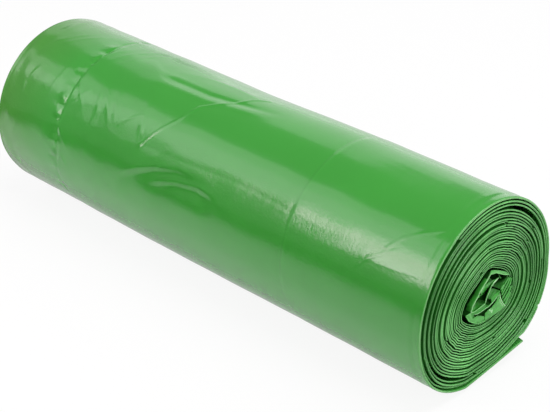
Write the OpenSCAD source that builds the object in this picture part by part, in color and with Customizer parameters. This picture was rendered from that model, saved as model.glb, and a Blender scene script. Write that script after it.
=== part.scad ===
// A roll of bin bags: folded bags wound one after another without a core, lying on its side.
// X runs along the roll and Z is up. The free end of the outermost bag points towards +Y.
// The whole web is one solid: a crumpled start in the hollow, the wound turns, and the free end.

/* [Roll] */
// Width of the folded web, which is the length of the roll
web_width = 350; // [200:5:500]
// Diameter of the wound roll
roll_diameter = 113; // [96:1:150]
// Turns of folded bags between the hollow and the outside
turns = 27; // [12:1:28]
// Air left between one turn and the next
turn_gap = 0.3; // [0.2:0.05:0.4]
// How much thicker the outer turns lie than the mean turn, as a share of it
looseness = 0.25; // [0:0.05:0.35]
// How far the middle turns bulge along the slanting diagonal
bulge = 0.7; // [0:0.1:1]
// Share of the air between the inner turns that is drawn together under the loose outermost turns
slack_share = 0.4; // [0:0.1:0.6]
// Width of the flat spot that the roll rests on
flat_width = 28; // [16:1:34]

/* [Hollow] */
// Width of the hollow in the middle
hollow_width = 42; // [30:1:46]
// Height of the hollow in the middle
hollow_height = 36; // [26:1:44]
// Roundness of the hollow, where 2 is an ellipse and less is a rounded diamond
hollow_roundness = 1.75; // [1.6:0.05:2.2]
// Thickness of the crumpled start of the web
start_thickness = 0.6; // [0.4:0.1:1]
// Radius of the sharp creases in the crumpled start
crease_radius = 0.8; // [0.7:0.1:1.2]

/* [Bags] */
// Length of one folded bag along the web
bag_length = 262; // [180:2:400]
// Width of the notch between two bags, at the folded edges
notch_width = 2.2; // [1.2:0.2:3]
// Depth of the notch between two bags, at the folded edges
notch_depth = 7; // [2:0.5:10]
// How far single bags stand out of the end of the roll
edge_stagger = 0.9; // [0.1:0.1:2]

/* [Free end] */
// How far the free end reaches past the middle of the roll
flap_reach = 38; // [24:1:42]
// How far the tip of the free end is lifted off the floor
flap_lift = 4.8; // [1:0.2:5]

/* [Hidden] */

// Chords that stand for one turn; every turn has the same, so that the turns stay clear of each other
turn_chords = 40;
// Chords of the curve that lifts the free end
flap_chords = 5;
// Largest angle between two chords of a crease
crease_step = 36;
// Turns by which the crumpled start has joined the first turn
joining_turn = -0.15;
// Angle of the diagonal along which the middle turns bulge
bulge_angle = 35;
// Outermost turns that hang loose, and the slack places under them as angle, half width and share of the depth
loose_turns = 3;
slack_places = [[62, 30, 1], [236, 16, 0.7]];
// Steps in which the stagger of the bags wanders, in degrees from one bag to the next
stagger_step = 137;

pitch = (roll_diameter - hollow_width) / 2 / turns;
outer_thickness = pitch * (1 + looseness) - turn_gap;
// Radius of the outermost turn at mid-thickness
round_radius = (roll_diameter - outer_thickness) / 2;
landing_angle = 270 - asin(flat_width / 2 / round_radius);
pressed_radius = round_radius * -sin(landing_angle);

// Radius of the hollow's wall at an angle, in degrees from +Y towards +Z
function hollow_radius(angle) = pow(
    pow(abs(cos(angle)) * 2 / hollow_width, hollow_roundness)
        + pow(abs(sin(angle)) * 2 / hollow_height, hollow_roundness),
    -1 / hollow_roundness
);

// Radius of the outermost turn at an angle, cut off flat by the floor
function outer_radius(angle) =
    min(round_radius, pressed_radius / max(-sin(angle), 0.01));

// Share of the way from the hollow to the outside, after so many turns
function share(turn) =
    let (s = turn / turns)
    s + looseness * s * (s - 1);

// Bell of height 1 round an angle
function bell(angle, centre, half_width) =
    let (off = (angle - centre + 540) % 360 - 180)
    exp(-pow(off / half_width, 2));
function sum(values, i = 0) = i < len(values) ? values[i] + sum(values, i + 1) : 0;

// How far the turns under the loose ones have drawn inwards, at an angle and after so many turns
function slack(angle, turn) =
    let (under = turns - loose_turns, drawn = max(0, min(turn, under) - turns / 3) * turn_gap * slack_share)
    turn > under + 0.15 ? 0 : drawn * sum([for (p = slack_places) p[2] * bell(angle, p[0], p[1])]);

// Thickness of the folded web after so many turns
function thickness(turn) =
    max(start_thickness, pitch * (1 + looseness * (2 * turn / turns - 1)) - turn_gap);

// Middle of the web after so many turns, as [y, z] from the middle of the roll
function turn_point(turn) =
    let (
        angle = landing_angle + 360 * turn,
        out = share(turn),
        swell = bulge * 4 * out * (1 - out) * cos(2 * (angle - bulge_angle)),
        round = hollow_radius(angle) * (1 - out) + outer_radius(angle) * out,
        radius = round + swell - slack(angle, turn)
    )
    radius * [cos(angle), sin(angle)];

function unit(v) = v / norm(v);
function left_of(v) = [-v[1], v[0]];
function between(a, b, part) = a + (b - a) * part;

// Arc of a radius in the corner b of a path a, b, c
function crease(a, b, c, radius) =
    let (
        into = unit(b - a),
        out_of = unit(c - b),
        side = sign(into[0] * out_of[1] - into[1] * out_of[0]),
        bend = acos(into * out_of),
        centre = b - into * radius * tan(bend / 2) + side * left_of(into) * radius,
        spoke = -side * left_of(into),
        from = atan2(spoke[1], spoke[0]),
        steps = max(2, ceil(bend / crease_step))
    )
    [for (i = [0:steps])
        let (angle = from + side * bend * i / steps)
        centre + radius * [cos(angle), sin(angle)]];

// Corners of the crumpled start, as shares of the hollow's half width and half height, then the radius of each.
// It begins at its free edge, zigzags through the hollow and then runs round inside the first turn.
start_corners = [
    [0.34, 0.46, 0],
    [0.03, 0.16, 5],
    [-0.10, -0.17, crease_radius],
    [-0.72, -0.13, crease_radius],
    [-0.46, -0.42, 2],
    [0.02, -0.56, 6],
    [0.46, -0.34, 4],
    [0.80, 0.20, crease_radius * 1.5],
    [0.04, 0.80, 3],
    [-0.84, 0.02, 3]
];
start_path = concat(
    [for (c = start_corners) [c[0] * hollow_width / 2, c[1] * hollow_height / 2]],
    [turn_point(joining_turn)]
);
start_points = concat(
    [start_path[0]],
    [for (i = [1:len(start_corners) - 1])
        each crease(start_path[i - 1], start_path[i], start_path[i + 1], start_corners[i][2])]
);

// The free end: flat on the floor, then lifted along a curve to its tip
flap_rise = [for (i = [0:flap_chords])
    let (part = i / flap_chords)
    [between(flat_width / 2, flap_reach, part), flap_lift * pow(part, 1.6) - pressed_radius]];

// Every stop along the web: [y, z, thickness]
first_stop = ceil(joining_turn * turn_chords);
stops = concat(
    [for (p = start_points) [p[0], p[1], start_thickness]],
    [for (k = [first_stop:turns * turn_chords])
        let (turn = k / turn_chords, p = turn_point(turn))
        [p[0], p[1], thickness(turn)]],
    [for (p = flap_rise) [p[0], p[1], outer_thickness]]
);
last_stop = len(stops) - 1;

function place(i) = [stops[i][0], stops[i][1]];
// Both faces of the web at a stop, mitred so that the web keeps its thickness round a corner
function face_point(i, side) =
    let (
        before = unit(place(max(i, 1)) - place(max(i, 1) - 1)),
        after = unit(place(min(i, last_stop - 1) + 1) - place(min(i, last_stop - 1))),
        mitre = unit(before + after)
    )
    place(i) + side * left_of(mitre) * stops[i][2] / 2 / (mitre * before);
inner_points = [for (i = [0:last_stop]) face_point(i, 1)];
outer_points = [for (i = [0:last_stop]) face_point(i, -1)];

// Length of the web up to each stop
lengths = [for (i = 0, sum = 0; i <= last_stop;
    sum = sum + (i < last_stop ? norm(place(i + 1) - place(i)) : 0), i = i + 1) sum];
web_length = lengths[last_stop];

// Position of a length along the web, as the stop before it plus the share of the chord after it
function locate(length, low = 0, high = last_stop) =
    high - low <= 1 ? low + (length - lengths[low]) / (lengths[high] - lengths[low])
    : let (mid = floor((low + high) / 2))
      lengths[mid] <= length ? locate(length, mid, high) : locate(length, low, mid);

// One face of the web at a position between stops
function face_at(points, position) =
    let (i = min(floor(position), last_stop - 1))
    between(points[i], points[i + 1], position - i);

// A piece of the web from one length to another, seen along the roll
function web_outline(from, to) =
    let (a = locate(from), b = locate(to), stops_between = [floor(a) + 1:ceil(b) - 1])
    concat(
        [face_at(inner_points, a)],
        [for (i = stops_between) inner_points[i]],
        [face_at(inner_points, b), face_at(outer_points, b)],
        [for (i = stops_between) outer_points[ceil(b) + floor(a) - i]],
        [face_at(outer_points, a)]
    );

// Lengths at which a bag ends, counted back from the free end
bag_count = floor(web_length / bag_length);
function bag_end(k) = k == 0 ? 0 : web_length - (bag_count - k + 1) * bag_length;

// How far a bag stands out of the end; the outermost one doesn't
function stagger(k) = k == bag_count + 1 ? 0 : edge_stagger * sin(stagger_step * k) - edge_stagger;

// The roll stands with its flat spot on the floor and the middle of its breadth over the origin
roll_height = pressed_radius + outer_thickness / 2;
breadth = [for (p = outer_points) p[0]];
roll_middle = (min(breadth) + max(breadth)) / 2;

// Web of a width between two lengths
module web(from, to, width) {
    translate([-width / 2, -roll_middle, roll_height])
        rotate([90, 0, 90])
        linear_extrude(height = width)
        polygon(web_outline(from, to));
}

// One bag, with half of the notch to the bag before it and half of that to the bag after it
module bag(k) {
    from = bag_end(k - 1) + (k == 1 ? 0 : notch_width / 2);
    to = k == bag_count + 1 ? web_length : bag_end(k) - notch_width / 2;
    web(from, to, web_width + 2 * stagger(k));
}

// The perforated joint between two bags, as deep as the notches leave it
module joint(k) {
    web(bag_end(k) - notch_width / 2, bag_end(k) + notch_width / 2, web_width - 2 * notch_depth);
}

module bag_roll() {
    color([0.24, 0.58, 0.23])
        union() {
            for (k = [1:bag_count + 1]) bag(k);
            for (k = [1:bag_count]) joint(k);
        }
}

bag_roll();
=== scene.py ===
"""A roll of green bin bags lying on its side: wound turns, crumpled film in the hollow, and a free end."""
import math

import bpy
import numpy as np
from mathutils import Matrix, Vector
from mathutils.geometry import delaunay_2d_cdt


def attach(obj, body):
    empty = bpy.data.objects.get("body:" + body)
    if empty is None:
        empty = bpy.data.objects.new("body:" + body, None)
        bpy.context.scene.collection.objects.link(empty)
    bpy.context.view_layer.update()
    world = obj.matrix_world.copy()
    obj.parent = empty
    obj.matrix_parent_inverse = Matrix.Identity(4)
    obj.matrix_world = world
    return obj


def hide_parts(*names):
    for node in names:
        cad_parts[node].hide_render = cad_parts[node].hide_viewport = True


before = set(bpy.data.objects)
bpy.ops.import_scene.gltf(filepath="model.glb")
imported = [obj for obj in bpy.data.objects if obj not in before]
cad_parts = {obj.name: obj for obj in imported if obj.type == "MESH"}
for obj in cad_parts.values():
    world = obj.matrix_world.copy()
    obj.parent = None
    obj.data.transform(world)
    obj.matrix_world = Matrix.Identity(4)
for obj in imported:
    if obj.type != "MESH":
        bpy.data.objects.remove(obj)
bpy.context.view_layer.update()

MM = 0.001

# Sizes in millimetres, as in the solids. Angles are in degrees, from +Y towards +Z.
WEB_WIDTH = 350.0
ROLL_DIAMETER = 113.0
TURNS = 27
TURN_GAP = 0.3
LOOSENESS = 0.25
FLAT_WIDTH = 28.0
HOLLOW = (42.0, 36.0)
HOLLOW_ROUNDNESS = 1.75
FLAP_TIP = (36.5, 5.5)
FLAP_CURVE = 1.6
BAG_LENGTH = 262.0
PRESSED_GAP = 0.7 * TURN_GAP
LEAST_HALF = 0.16
# How much higher the free end's tip lies at the far end, at the near end, and beside its near corner
FAR_LIFT, NEAR_LIFT, CORNER_LIFT = 0.5, 3.0, 2.3

PITCH = (ROLL_DIAMETER - HOLLOW[0]) / 2 / TURNS
OUTER_THICKNESS = PITCH * (1 + LOOSENESS) - TURN_GAP
ROUND_RADIUS = (ROLL_DIAMETER - OUTER_THICKNESS) / 2
LANDING = 270 - math.degrees(math.asin(FLAT_WIDTH / 2 / ROUND_RADIUS))
PRESSED_RADIUS = -ROUND_RADIUS * math.sin(math.radians(LANDING))
ROLL_HEIGHT = PRESSED_RADIUS + OUTER_THICKNESS / 2
HALF = WEB_WIDTH / 2
ARC = ROUND_RADIUS * math.pi / 180

# Where the two seams run round the roll, as shares of its length from the far end
FIRST_SEAM = 0.1675
SECOND_SEAM = 0.722

# The least height of the web's middle and of its faces, so that nothing reaches below the floor
LOWEST_MIDDLE = 0.03
LOWEST_FACE = 0.02


# Helpers
def smooth(value, low, high):
    """0 below low, 1 above high, and a soft S between them."""
    t = np.clip((np.asarray(value, float) - low) / (high - low), 0, 1)
    return t * t * (3 - 2 * t)


def bump(value, centre, width):
    """A bell of height 1 and that half width."""
    return np.exp(-(((np.asarray(value, float) - centre) / width) ** 2))


def bell(angle, centre, half_width):
    """A bell of height 1 round an angle."""
    return bump((angle - centre + 180) % 360 - 180, 0, half_width)


def read_off(table, angle):
    """The value at an angle, from a table of angles and values."""
    return np.interp(np.asarray(angle) % 360, *zip(*table))


def waves(seed, *axes, octaves=5):
    """Smooth seeded unevenness of about unit size over the given axes."""
    rng = np.random.default_rng(seed)
    total = 0.0
    for _ in range(octaves * 3):
        rates = rng.uniform(0.5, 1.5, len(axes)) * rng.choice([-1, 1], len(axes))
        phase = rng.uniform(0, 2 * math.pi)
        total = total + np.sin(sum(rate * np.asarray(axis, float) for rate, axis in zip(rates, axes)) + phase)
    return total / math.sqrt(octaves * 3)


def x_at(along):
    """X at that share of the roll's length."""
    return along * WEB_WIDTH - HALF


def near_end(x):
    """0 up to a little past the middle of the roll, rising to 1 at the near end."""
    return smooth(x, 45, 172)


def new_object(name, data):
    """An object of the scene with that mesh, lamp or camera."""
    obj = bpy.data.objects.new(name, data)
    bpy.context.scene.collection.objects.link(obj)
    return obj


def store(mesh, name, values):
    """One number for each point of a mesh, which its material reads."""
    mesh.attributes.new(name, "FLOAT", "POINT").data.foreach_set("value", values)


# The wound path, seen from the end
def hollow_radius(angle):
    across = np.abs(np.cos(np.radians(angle))) * 2 / HOLLOW[0]
    up = np.abs(np.sin(np.radians(angle))) * 2 / HOLLOW[1]
    return (across**HOLLOW_ROUNDNESS + up**HOLLOW_ROUNDNESS) ** (-1 / HOLLOW_ROUNDNESS)


def outer_radius(angle):
    down = np.maximum(-np.sin(np.radians(angle)), 0.01)
    return np.minimum(ROUND_RADIUS, PRESSED_RADIUS / down)


def share(turn):
    """How far out a turn lies, from 0 at the hollow to 1 outside."""
    part = turn / TURNS
    return part + LOOSENESS * part * (part - 1)


def angle_of(turn):
    return LANDING + 360 * turn


# Loose places: angle, half width, depth, and about how many turns lie inside the opening.
LOOSE_PLACES = [
    (47, 38, 1.8, 24.0), (237, 19, 1.4, 23.0), (30, 20, 0.8, 19.0), (10, 17, 0.8, 16.4),
    (148, 42, 0.6, 17.6), (205, 22, 0.35, 12.0), (75, 26, 0.35, 13.0), (300, 35, 0.3, 19.5),
    (275, 30, 0.3, 9.0),
]
# A loose place sinks in over so many turns, and ends within this much of one.
SINKING_TURNS = 9
OPENING = 0.12

# How far the winding stands outwards of an even ellipse at the hollow: angle and millimetres.
HOLLOW_SHAPE = [
    (0, -0.5), (15, -0.9), (30, -1.8), (45, -2.6), (60, -3.0), (75, -2.6), (90, -2.8), (105, -4.2),
    (120, -5.3), (135, -5.7), (150, -5.2), (165, -4.1), (180, -2.7), (190, -1.2), (199, 0.1), (210, -0.6),
    (225, -1.3), (245, -1.7), (270, -1.6), (300, -0.4), (325, 0.9), (345, 0.2), (360, -0.5),
]


def looseness(angle, turn):
    """How far a turn stands outwards of an even winding."""
    out = share(turn)
    # Halfway out the turns are wider than high and lie a little to the lower right.
    middle = 4 * out * (1 - out)
    push = middle * (1.6 * np.cos(np.radians(2 * (angle - 4))) + 1.0 * np.cos(np.radians(angle + 40)))
    # On the left they are pressed inwards.
    push = push - 3.0 * bell(angle, 165, 46) * np.interp(turn, [0, 12, 22.3, 27], [0, 0.45, 1, 0])
    for centre, width, depth, level in LOOSE_PLACES:
        seat = (centre + 180 - LANDING) / 360
        edge = round(level - seat) + seat
        sinking = np.clip((turn - edge + SINKING_TURNS) / SINKING_TURNS, 0, 1)
        opened = smooth(turn, edge - OPENING, edge + OPENING)
        push = push - depth * bell(angle, centre, width) * sinking * (1 - opened)
    push = push + read_off(HOLLOW_SHAPE, angle) * np.clip(1 - out, 0, 1) ** 1.5
    # Short buckles at the lower left and at the upper right.
    zone = bell(angle, 218, 26) * bump(turn, 10, 7) + 0.8 * bell(angle, 46, 24) * bump(turn, 12, 6)
    buckle = 0.26 * zone * np.sin(np.radians(angle) * 25 + 1.4 * np.sin(turn * 0.35))
    # On one side the turns lie in pairs, with wide grooves between.
    paired = bell(angle, 168, 40) * smooth(out, 0.6, 0.72) * (1 - smooth(out, 0.9, 0.95))
    return push + buckle + 0.18 * paired * np.cos(np.pi * (turn + (LANDING - 168) / 360))


def turn_radius(turn):
    angle = angle_of(turn)
    out = share(turn)
    return hollow_radius(angle) * (1 - out) + outer_radius(angle) * out + looseness(angle, turn)


def turn_point(turn):
    """Middle of the web after so many turns, as y and z."""
    angle = np.radians(angle_of(turn))
    radius = turn_radius(turn)
    return np.stack([radius * np.cos(angle), radius * np.sin(angle) + ROLL_HEIGHT], 1)


def half_thickness(turn):
    """Half the web's thickness, less where its neighbours are pressed close."""
    full = PITCH * (1 + LOOSENESS * (2 * turn / TURNS - 1)) - TURN_GAP
    here = turn_radius(turn)
    outside = np.where(turn < TURNS - 1, turn_radius(np.minimum(turn + 1, TURNS)) - here, full + TURN_GAP)
    inside = np.where(turn > 1, here - turn_radius(np.maximum(turn - 1, 0)), full + TURN_GAP)
    room = np.minimum(outside, inside) - PRESSED_GAP
    return np.clip(np.minimum(full, room) / 2, LEAST_HALF, 1)


# How far the soft roll's outline is pushed in or out near its ends: angle and millimetres.
NEAR_OUTLINE = [
    (0, -0.9), (15, -0.8), (45, -1.0), (60, -0.7), (75, -0.3), (90, 0.0), (120, 0.1), (150, 0.3),
    (180, 0.1), (200, 0.3), (222, 0.6), (232, 0.0), (240, -0.7), (250, -1.6), (258, -2.1), (270, -2.5),
    (281, -3.4), (290, -3.2), (300, -2.2), (310, 0.1), (318, 1.5), (327, 2.0), (333, 1.9), (340, 1.6),
    (350, 0.6), (360, -0.9),
]
FAR_OUTLINE = [(0, 0), (195, 0.0), (215, -0.9), (245, -0.7), (262, 0.0), (360, 0)]


def sag(y, z, x):
    """The same point moved by the soft roll's uneven outline at that place along it."""
    up = z - ROLL_HEIGHT
    radius = np.hypot(y, up)
    angle = np.degrees(np.arctan2(up, y)) % 360
    near = near_end(x)
    push = read_off(NEAR_OUTLINE, angle) * near + read_off(FAR_OUTLINE, angle) * smooth(-x, 60, 170)
    push = push - 0.8 * bell(angle, 58, 26) * smooth(x, -70, 30) * (1 - near)
    scale = 1 + push * np.clip(radius / ROUND_RADIUS, 0, 1) ** 2 / np.maximum(radius, 1)
    return y * scale, np.maximum(ROLL_HEIGHT + up * scale, LOWEST_MIDDLE)


def running_length(points):
    steps = np.linalg.norm(np.diff(points, axis=0), axis=1)
    return np.concatenate([[0], np.cumsum(steps)])


def outward(points):
    """Unit normals of a path, pointing away from the middle of the roll."""
    tangent = np.gradient(points, axis=0)
    tangent /= np.linalg.norm(tangent, axis=1)[:, None]
    return np.stack([tangent[:, 1], -tangent[:, 0]], 1)


STEPS_PER_TURN = 720
fine_turns = np.linspace(0, TURNS, TURNS * STEPS_PER_TURN + 1)
fine_points = turn_point(fine_turns)
fine_lengths = running_length(fine_points)
flap_root = fine_points[-1]
flap_share = np.linspace(0, 1, 26)[1:]
flap_fall = np.stack([flap_share, flap_share**FLAP_CURVE], 1)
flap_rest = flap_root + (np.array(FLAP_TIP) - flap_root) * flap_fall

# The folded edges at both ends. Each bag stands back a little differently, and between bags there is a
# notch. The two outermost joints are placed in turns, and the others follow at one bag length.
JOINT_TURNS = (26.207, 25.63)
FIRST_JOINTS = np.interp(JOINT_TURNS, fine_turns, fine_lengths)
JOINTS = np.concatenate([FIRST_JOINTS, np.arange(FIRST_JOINTS[1] - BAG_LENGTH, 30, -BAG_LENGTH)])
NOTCH_DEPTHS = [0.25, 3.0, 0.5] + [1.6] * (len(JOINTS) - 3)
NOTCH_STOPS = np.array([-1.3, -1.1, -0.9, -0.6, 0.6, 0.9, 1.1, 1.3])
SET_BACK = [
    0.0, 1.1, 0.1, 0.2, 0.8, 0.5, 1.1, 0.4, 1.3, 0.3, 0.9, 1.2, 0.3, 0.8, 1.1, 0.2, 0.9, 0.4, 1.0, 0.2,
    0.7, 0.4, 0.9, 0.3, 0.6, 0.5,
]


def edge_back(length, turn, seed):
    """How far the folded edge stands back from the end of the roll."""
    bag = (JOINTS[None, :] > length[:, None]).sum(1)
    back = np.array(SET_BACK)[bag]
    back = back + 0.25 * (1 + waves(seed, length / 23.0, octaves=4)) * smooth(TURNS - turn, 0.0, 1.5)
    for joint, depth in zip(JOINTS, NOTCH_DEPTHS):
        back = back + depth * (1 - smooth(np.abs(length - joint), 0.6, 1.2))
    return back


def with_notches(stops):
    """The stops with a few more at each notch between two bags."""
    extra = np.interp((JOINTS[:, None] + NOTCH_STOPS).ravel(), fine_lengths, fine_turns)
    return np.unique(np.concatenate([stops, extra[(extra > stops[0]) & (extra < stops[-1])]]))


# The directions round a folded edge, from the inner face to the outer one
ROUND_EDGE = np.radians(np.linspace(-90, 90, 7))
EDGE_REACH = 0.9


def web_mesh(name, points, half, near, far, columns, inner, relief=None, place=sag, edge_light_and_shade=1.0):
    """A web along a path: folded edges near and far, joined by its outer and inner faces."""
    near, far, half = near[:, None], far[:, None], half[:, None]
    reach = EDGE_REACH * half
    first, last = near - reach, far + reach
    body = np.asarray(columns)[None, :]
    back = np.linspace(1, 0, inner + 2)[1:-1][None, :]
    x = np.concatenate(
        [
            near - reach * (1 - np.cos(ROUND_EDGE)),
            first + body * (last - first),
            far + reach * (1 - np.cos(ROUND_EDGE[::-1])),
            first + back * (last - first),
        ],
        1,
    )
    round_near, round_far = half * np.sin(ROUND_EDGE), half * np.sin(ROUND_EDGE[::-1])
    out = np.concatenate([round_near, half + 0 * body, round_far, -half + 0 * back], 1)
    if relief is not None:
        face = slice(len(ROUND_EDGE), len(ROUND_EDGE) + body.shape[1])
        out[:, face] += relief(x[:, face])
    # How far round its folded edge each point lies, where the material paints a highlight, scaled by the
    # painted edge light and shade.
    fold = np.concatenate([np.cos(ROUND_EDGE), 0 * body[0], np.cos(ROUND_EDGE), 0 * back[0]])
    fold = np.clip(fold * np.broadcast_to(edge_light_and_shade, len(points))[:, None], 0, 1)
    y, z = place(points[:, :1] + 0 * x, points[:, 1:] + 0 * x, x)
    normal = outward(points)
    z = np.maximum(z + normal[:, 1:] * out, LOWEST_FACE)
    corners = np.stack([x, y + normal[:, :1] * out, z], -1)

    count = x.shape[1]
    row = np.arange(len(points) - 1)[:, None] * count
    here = np.arange(count)[None, :]
    after = (here + 1) % count
    sides = np.stack([row + here, row + after, row + count + after, row + count + here], -1)
    first_end = list(range(count))[::-1]
    last_end = [(len(points) - 1) * count + corner for corner in range(count)]
    faces = sides.reshape(-1, 4).tolist() + [first_end, last_end]
    mesh = bpy.data.meshes.new(name)
    mesh.from_pydata((corners.reshape(-1, 3) * MM).tolist(), [], faces)
    mesh.polygons.foreach_set("use_smooth", [True] * (len(faces) - 2) + [False] * 2)
    store(mesh, "fold", fold.ravel())
    return new_object(name, mesh)


# Turns under the outermost one
STOPS_PER_TURN = 112
TURN_COLUMNS = 6
turn_stops = with_notches(np.linspace(-0.05, TURNS - 1.0, STOPS_PER_TURN * (TURNS - 1)))
turn_length = np.interp(turn_stops, fine_turns, fine_lengths)
unevenness = 0.5 + 0.5 * waves(11, np.radians(angle_of(turn_stops)) * 2, turn_stops * 1.9)
# Where the folded edges are painted paler or darker: angle, half width, how far out, its reach, and how much.
EDGE_LIGHT_AND_SHADE_PLACES = [
    (168, 40, 0.9, 0.28, -0.55), (2, 28, 0.52, 0.16, -0.6), (275, 55, 0.5, 0.25, 0.4),
    (100, 30, 0.4, 0.35, 0.2), (215, 25, 0.25, 0.2, 0.15), (98, 24, 0.96, 0.06, 0.3),
]
# Painted light and shade: how strongly each turn's folded edge shows its painted highlight.
edge_light_and_shade = np.full(len(turn_stops), 0.8)
for centre, width, level, span, amount in EDGE_LIGHT_AND_SHADE_PLACES:
    edge_light_and_shade += 0.8 * amount * bell(angle_of(turn_stops), centre, width) * bump(share(turn_stops), level, span)
wound = web_mesh(
    "wound_turns",
    turn_point(turn_stops),
    half_thickness(turn_stops) * np.clip(1.0 - 0.2 * unevenness, 0.66, 1.0),
    HALF - edge_back(turn_length, turn_stops, 3),
    -HALF + edge_back(turn_length, turn_stops, 4),
    np.linspace(0, 1, TURN_COLUMNS + 2)[1:-1],
    inner=TURN_COLUMNS,
    edge_light_and_shade=edge_light_and_shade,
)

# The outermost turn and the free end. Angles here are from the top, towards the side that the photo shows.
OUTER_FROM = -193.5
top_of_outer = np.concatenate(
    [
        np.linspace(OUTER_FROM, -45, 34, endpoint=False),
        np.linspace(-45, 135, 196, endpoint=False),
        np.linspace(135, 166.5, 8),
    ]
)
outer_stops = with_notches(np.append(TURNS - 1.0 + (top_of_outer - OUTER_FROM) / 360, TURNS))
flap_length = fine_lengths[-1] + running_length(flap_rest) + 2
outer_length = np.concatenate([np.interp(outer_stops, fine_turns, fine_lengths), flap_length])
outer_turn = np.concatenate([outer_stops, np.full(len(flap_rest), float(TURNS))])
from_top = np.concatenate([angle_of(outer_stops - TURNS) - 90, np.full(len(flap_rest), 180.0)])
on_flap = np.concatenate([np.zeros(len(outer_stops)), flap_share])


def place_outer(y, z, x):
    """The outer bag's middle, sagging with the roll, and its free end lifting more at the near end."""
    y_sag, z_sag = sag(y, z, x)
    near = near_end(x)
    root_y, root_z = sag(flap_root[0] + 0 * x, flap_root[1] + 0 * x, x)
    part = on_flap[:, None]
    tip_y = FLAP_TIP[0] + 0.4 * near
    tip_z = FLAP_TIP[1] + NEAR_LIFT * near + FAR_LIFT * smooth(-x, 20, 170)
    tip_z = tip_z + CORNER_LIFT * smooth(HALF - x, 0.5, 6) * smooth(x, 60, 160)
    flap_y = root_y + (tip_y - root_y) * part
    flap_z = root_z + (tip_z - root_z) * part ** (FLAP_CURVE - 0.5 * near)
    return np.where(part > 0, flap_y, y_sag), np.where(part > 0, flap_z, z_sag)


def ridge(x, arc, path, width, height):
    """A thin crease along a path of points, each a share of the length and an angle from the top."""
    nearest = np.full(np.broadcast(x, arc).shape, np.inf)
    ends = [np.array([x_at(along), angle * ARC]) for along, angle in path]
    for first, last in zip(ends, ends[1:]):
        run = last - first
        part = np.clip(((x - first[0]) * run[0] + (arc - first[1]) * run[1]) / (run @ run), 0, 1)
        away = np.hypot(x - first[0] - part * run[0], arc - first[1] - part * run[1])
        nearest = np.minimum(nearest, away)
    return height * np.exp(-((nearest / width) ** 2))


# Puckers beside the first seam: angle from the top, half width, height.
SEAM_PUCKERS = [
    (52.5, 2.2, 0.75), (63.0, 2.4, 0.75), (57.5, 1.3, -0.6), (6, 2.5, 0.35), (12, 2.0, -0.35),
    (20, 1.8, 0.3), (33, 2.0, -0.3), (44, 2.0, 0.3), (88, 2.2, 0.35), (92, 1.2, -0.4),
]
# Short folds pulled from it: share of the length, angle from the top, slant, width, height, reach.
SEAM_FOLDS = [
    (0.185, 43, -0.9, 1.3, 0.35, 9), (0.196, 47, 0.7, 1.5, 0.25, 7), (0.243, 46, -0.35, 1.6, 0.28, 11),
    (0.268, 47, -0.75, 1.5, 0.42, 9), (0.284, 44, -0.45, 1.4, 0.3, 8), (0.318, 49, 1.6, 1.0, 0.22, 6),
    (0.358, 48, -0.4, 1.9, 0.28, 12), (0.182, 75, -0.9, 1.3, 0.3, 6), (0.188, 91, -0.7, 1.3, 0.3, 4),
    (0.247, 66, 0.05, 1.2, 0.14, 26), (0.185, 6, 0.5, 1.6, 0.25, 9), (0.215, 2, 0.6, 1.8, 0.2, 12),
    (0.245, -2, 0.5, 1.6, 0.2, 12), (0.122, 45, 0.1, 1.2, 0.25, 9), (0.128, 40, -0.1, 0.9, 0.2, 8),
    (0.06, 46, 0.35, 1.3, 0.3, 6), (0.05, 56, -0.2, 1.4, 0.3, 5), (0.1, 5, 0.9, 2.2, 0.2, 12),
    (0.07, 10, 0.8, 2.0, 0.2, 10), (0.03, 74, 0.2, 3.0, 0.45, 14), (0.05, 84, 0.6, 2.0, 0.3, 5),
]
# Lens-shaped folds low on the side: the path of the lip, how far it falls, where it fades in and out.
LENS_FOLDS = [
    (((0.3, 84), (0.34, 80), (0.38, 72), (0.42, 66), (0.47, 61.5), (0.56, 60)), 1.1,
     (0.33, 0.37), (0.46, 0.57)),
    (((0.38, 80), (0.42, 75.5), (0.47, 69.5), (0.52, 66.5), (0.58, 68)), 0.9, (0.4, 0.44), (0.53, 0.58)),
]
# Thin creases: the path, then the width and the height.
CREASES = [
    (((0.372, 60), (0.39, 50), (0.42, 37), (0.44, 22), (0.455, 18), (0.47, 13), (0.49, 5),
      (0.5, -2), (0.52, -9)), 0.6, 0.42),
    (((0.865, 68), (0.88, 62), (0.9, 57), (0.92, 52)), 0.7, 0.2),
    (((0.905, 53), (0.92, 45), (0.94, 40), (0.96, 35), (0.98, 30)), 0.7, 0.2),
    (((0.312, 93), (0.27, 105), (0.238, 121)), 0.7, 0.14),
    (((0.82, 85), (0.76, 105), (0.73, 118)), 0.6, 0.08),
    (((0.305, 54), (0.325, 48), (0.342, 43)), 0.6, 0.16),
    (((0.38, 58.5), (0.5, 57), (0.6, 55), (0.66, 55.5), (0.715, 56.5)), 1.2, -0.09),
    (((0.87, 62.5), (0.93, 61), (0.985, 58.5)), 0.9, 0.08),
]


def film_waves(along, angle):
    """The film's own unevenness, with finer waves towards the far end."""
    out = 0.3 * waves(21, along * 9, angle / 30.0, octaves=4) + 0.05 * waves(22, along * 45, angle / 9.0)
    return out + 0.06 * waves(29, along * 60, angle / 6.0) * (1 - smooth(along, 0.28, 0.45))


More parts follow.
